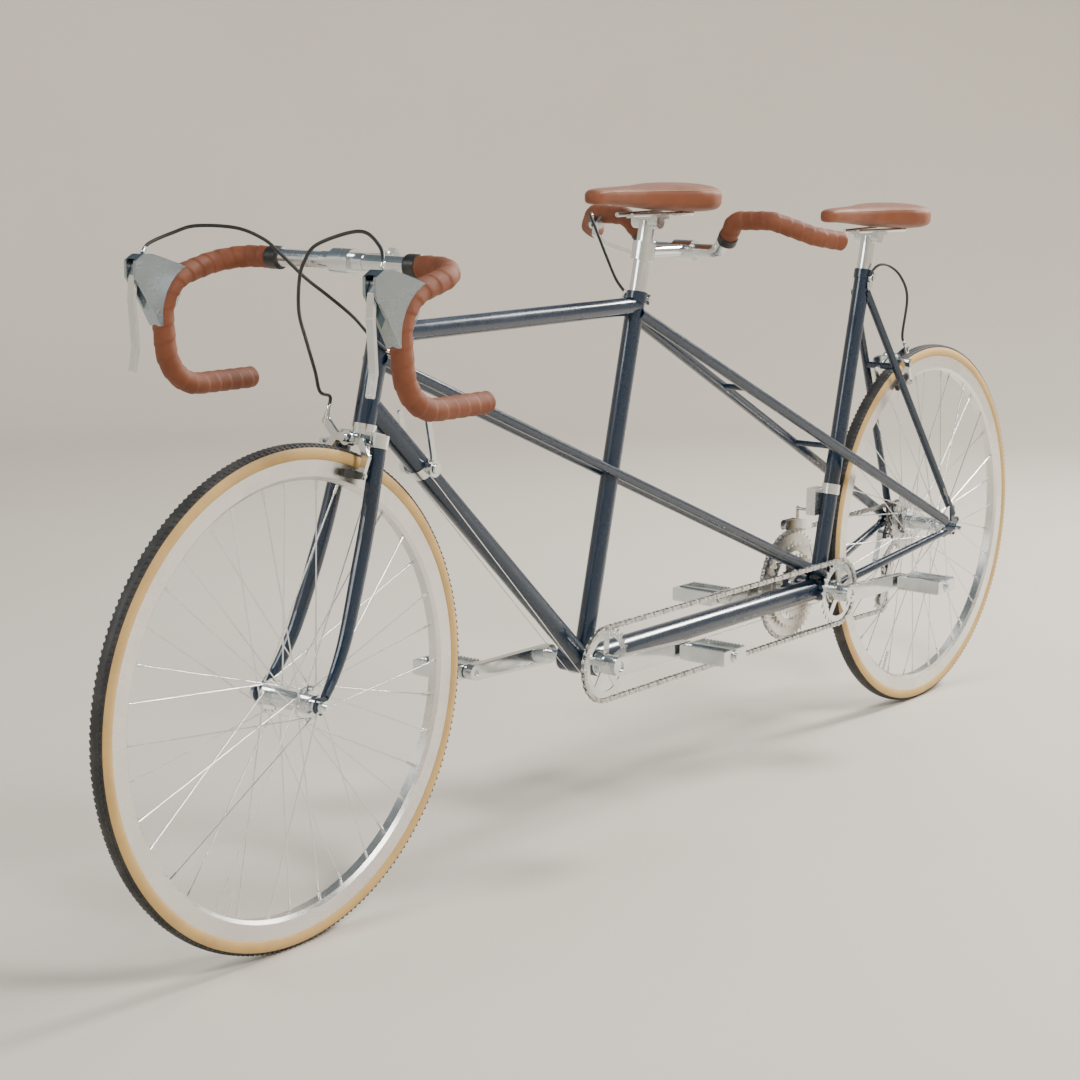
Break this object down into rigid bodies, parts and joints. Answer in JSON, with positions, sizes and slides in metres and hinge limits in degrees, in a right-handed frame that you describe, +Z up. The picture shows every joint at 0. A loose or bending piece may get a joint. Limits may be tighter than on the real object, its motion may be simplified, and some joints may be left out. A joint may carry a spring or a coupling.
{
  "type": "tandem bicycle",
  "caption": "Road tandem for two riders in line: steel frame with twin side tubes, drop bar in front, bullhorn bar behind, joined cranks, gears and rim brakes.",
  "frame": {"origin": "on the ground, midway between the two wheels' contact points", "axes": "+X forwards, +Y to the riders' left, +Z up"},
  "size_m": [2.408, 0.4988, 0.9979],
  "materials": {
    "frame_paint": "gloss enamel",
    "polished": "polished",
    "steel": "satin",
    "chromed": "mirror",
    "chain_steel": "oiled",
    "leather_brown": "waxed",
    "tyre_tan": "tan side wall",
    "housing": "satin"
  },
  "bodies": {
    "frame": {"head_tube": "frame_paint", "top_tube": "frame_paint", "down_tube": "frame_paint", "captain_seat_tube": "frame_paint", "boom_tube": "frame_paint", "stoker_seat_tube": "frame_paint", "lower_laterals": "frame_paint", "upper_laterals": "frame_paint", "chain_stays": "frame_paint", "seat_stays": "frame_paint", "bracket_shells": "frame_paint", "bearing_cups": "steel", "cable_fittings": "chromed", "frame_cables": "housing", "timing_chain": "chain_steel", "drive_chain": "chain_steel", "rear_axle": "steel"},
    "steering": {"fork_crown": "chromed", "fork_blades": "frame_paint", "stem": "polished", "handlebar": "polished", "bar_tape": "leather_brown", "lever_hoods": "polished", "front_axle": "steel", "front_brake_cable": "housing", "bar_to_frame_cable": "housing"},
    "front_wheel": {"front_hub": "polished", "front_spokes": "steel", "front_rim": "polished", "front_tyre": "tyre_tan"},
    "rear_wheel": {"rear_hub": "polished", "rear_spokes": "steel", "rear_rim": "polished", "rear_tyre": "tyre_tan"},
    "freewheel": {"freewheel": "steel"},
    "captain_crank": {"captain_crank": "polished"},
    "stoker_crank": {"stoker_crank": "polished", "drive_chainrings": "polished"},
    "captain_left_pedal": {"captain_left_pedal": "polished"},
    "captain_right_pedal": {"captain_right_pedal": "polished"},
    "stoker_left_pedal": {"stoker_left_pedal": "polished"},
    "stoker_right_pedal": {"stoker_right_pedal": "polished"},
    "left_brake_lever": {"left_brake_lever": "polished"},
    "right_brake_lever": {"right_brake_lever": "polished"},
    "stoker_brake_lever": {"stoker_brake_lever": "polished"},
    "front_arm_left": {"front_arm_left": "polished"},
    "front_arm_right": {"front_arm_right": "polished"},
    "rear_arm_left": {"rear_arm_left": "polished"},
    "rear_arm_right": {"rear_arm_right": "polished"},
    "rear_derailleur": {"rear_derailleur": "polished"},
    "derailleur_cage": {"derailleur_cage": "polished"},
    "front_derailleur": {"front_derailleur": "polished"},
    "left_shifter": {"left_shifter": "polished"},
    "right_shifter": {"right_shifter": "polished"},
    "captain_post": {"captain_seatpost": "polished", "captain_saddle": "leather_brown", "stoker_handlebar": "polished", "stoker_grips": "leather_brown"},
    "stoker_post": {"stoker_seatpost": "polished", "stoker_saddle": "leather_brown"}
  },
  "joints": [
    {"name": "steer", "type": "hinge", "parent": "frame", "child": "steering", "pos_m": [0.70797, 0, 0.71684], "axis": [-0.2521, 0, 0.9677], "range_deg": [-50, 50], "deforming": ["bar_to_frame_cable"]},
    {"name": "front_wheel_spin", "type": "hinge", "parent": "steering", "child": "front_wheel", "pos_m": [0.864, 0, 0.34], "axis": [0, 1, 0], "continuous": true},
    {"name": "rear_wheel_spin", "type": "hinge", "parent": "frame", "child": "rear_wheel", "pos_m": [-0.864, 0, 0.34], "axis": [0, 1, 0], "continuous": true},
    {"name": "stoker_crank_spin", "type": "hinge", "parent": "frame", "child": "stoker_crank", "pos_m": [-0.4825, 0, 0.274], "axis": [0, 1, 0], "continuous": true, "deforming": ["timing_chain", "drive_chain"]},
    {"name": "captain_crank_spin", "type": "hinge", "parent": "frame", "child": "captain_crank", "pos_m": [0.216, 0, 0.274], "axis": [0, 1, 0], "continuous": true},
    {"name": "freewheel_spin", "type": "hinge", "parent": "frame", "child": "freewheel", "pos_m": [-0.864, 0, 0.34], "axis": [0, 1, 0], "continuous": true},
    {"name": "captain_left_pedal_spin", "type": "hinge", "parent": "captain_crank", "child": "captain_left_pedal", "pos_m": [0.046, 0, 0.274], "axis": [0, 1, 0], "continuous": true},
    {"name": "captain_right_pedal_spin", "type": "hinge", "parent": "captain_crank", "child": "captain_right_pedal", "pos_m": [0.386, 0, 0.274], "axis": [0, 1, 0], "continuous": true},
    {"name": "stoker_left_pedal_spin", "type": "hinge", "parent": "stoker_crank", "child": "stoker_left_pedal", "pos_m": [-0.6525, 0, 0.274], "axis": [0, 1, 0], "continuous": true},
    {"name": "stoker_right_pedal_spin", "type": "hinge", "parent": "stoker_crank", "child": "stoker_right_pedal", "pos_m": [-0.3125, 0, 0.274], "axis": [0, 1, 0], "continuous": true},
    {"name": "left_lever_pull", "type": "hinge", "parent": "steering", "child": "left_brake_lever", "pos_m": [0.92495, 0.208, 0.90087], "axis": [0, 1, 0], "range_deg": [0, 18], "stiffness_Nm_per_rad": 0.6, "springref_deg": -8.59},
    {"name": "right_lever_pull", "type": "hinge", "parent": "steering", "child": "right_brake_lever", "pos_m": [0.92495, -0.208, 0.90087], "axis": [0, 1, 0], "range_deg": [0, 18], "stiffness_Nm_per_rad": 0.6, "springref_deg": -8.59},
    {"name": "stoker_lever_pull", "type": "hinge", "parent": "captain_post", "child": "stoker_brake_lever", "pos_m": [-0.01, -0.15, 0.927], "axis": [0, 1, 0], "range_deg": [0, 14], "stiffness_Nm_per_rad": 0.6, "springref_deg": -8.59},
    {"name": "front_left_arm_close", "type": "hinge", "parent": "steering", "child": "front_arm_left", "pos_m": [0.72058, 0, 0.66845], "axis": [0.9677, 0, 0.2521], "range_deg": [-3.2, 0], "deforming": ["front_brake_cable"]},
    {"name": "front_right_arm_close", "type": "hinge", "parent": "steering", "child": "front_arm_right", "pos_m": [0.72058, 0, 0.66845], "axis": [0.9677, 0, 0.2521], "range_deg": [0, 3.2]},
    {"name": "rear_left_arm_close", "type": "hinge", "parent": "frame", "child": "rear_arm_left", "pos_m": [-0.68834, 0, 0.655], "axis": [-0.866, 0, 0.5], "range_deg": [-2.7, 0], "deforming": ["frame_cables"]},
    {"name": "rear_right_arm_close", "type": "hinge", "parent": "frame", "child": "rear_arm_right", "pos_m": [-0.68834, 0, 0.655], "axis": [-0.866, 0, 0.5], "range_deg": [0, 2.7]},
    {"name": "left_shift", "type": "hinge", "parent": "frame", "child": "left_shifter", "pos_m": [0.59974, 0, 0.61941], "axis": [0, 1, 0], "range_deg": [0, 60]},
    {"name": "right_shift", "type": "hinge", "parent": "frame", "child": "right_shifter", "pos_m": [0.59974, 0, 0.61941], "axis": [0, 1, 0], "range_deg": [0, 60]},
    {"name": "front_derailleur_shift", "type": "slide", "parent": "frame", "child": "front_derailleur", "axis": [0, 1, 0], "range_m": [0, 0.014]},
    {"name": "rear_derailleur_swing", "type": "hinge", "parent": "frame", "child": "rear_derailleur", "pos_m": [-0.856, 0, 0.31], "axis": [0, 1, 0], "range_deg": [0, 10], "stiffness_Nm_per_rad": 1.5, "springref_deg": -5.73},
    {"name": "derailleur_cage_swing", "type": "hinge", "parent": "rear_derailleur", "child": "derailleur_cage", "pos_m": [-0.844, -0.053, 0.256], "axis": [0, 1, 0], "range_deg": [0, 25], "stiffness_Nm_per_rad": 0.4, "springref_deg": -17.19},
    {"name": "captain_post_slide", "type": "slide", "parent": "frame", "child": "captain_post", "axis": [-0.2284, 0, 0.9736], "range_m": [-0.02, 0.05]},
    {"name": "stoker_post_slide", "type": "slide", "parent": "frame", "child": "stoker_post", "axis": [-0.2284, 0, 0.9736], "range_m": [-0.04, 0.06]}
  ],
  "couplings": [
    {"joint": "captain_crank_spin", "follows": "stoker_crank_spin", "ratio": 1},
    {"joint": "freewheel_spin", "follows": "stoker_crank_spin", "ratio": 2.8235},
    {"joint": "front_left_arm_close", "follows": "left_lever_pull", "ratio": -0.17},
    {"joint": "front_right_arm_close", "follows": "left_lever_pull", "ratio": 0.17},
    {"joint": "rear_left_arm_close", "follows": "right_lever_pull", "ratio": -0.145},
    {"joint": "rear_right_arm_close", "follows": "right_lever_pull", "ratio": 0.145},
    {"joint": "front_derailleur_shift", "follows": "left_shift", "m_per_rad": 0.012701}
  ]
}
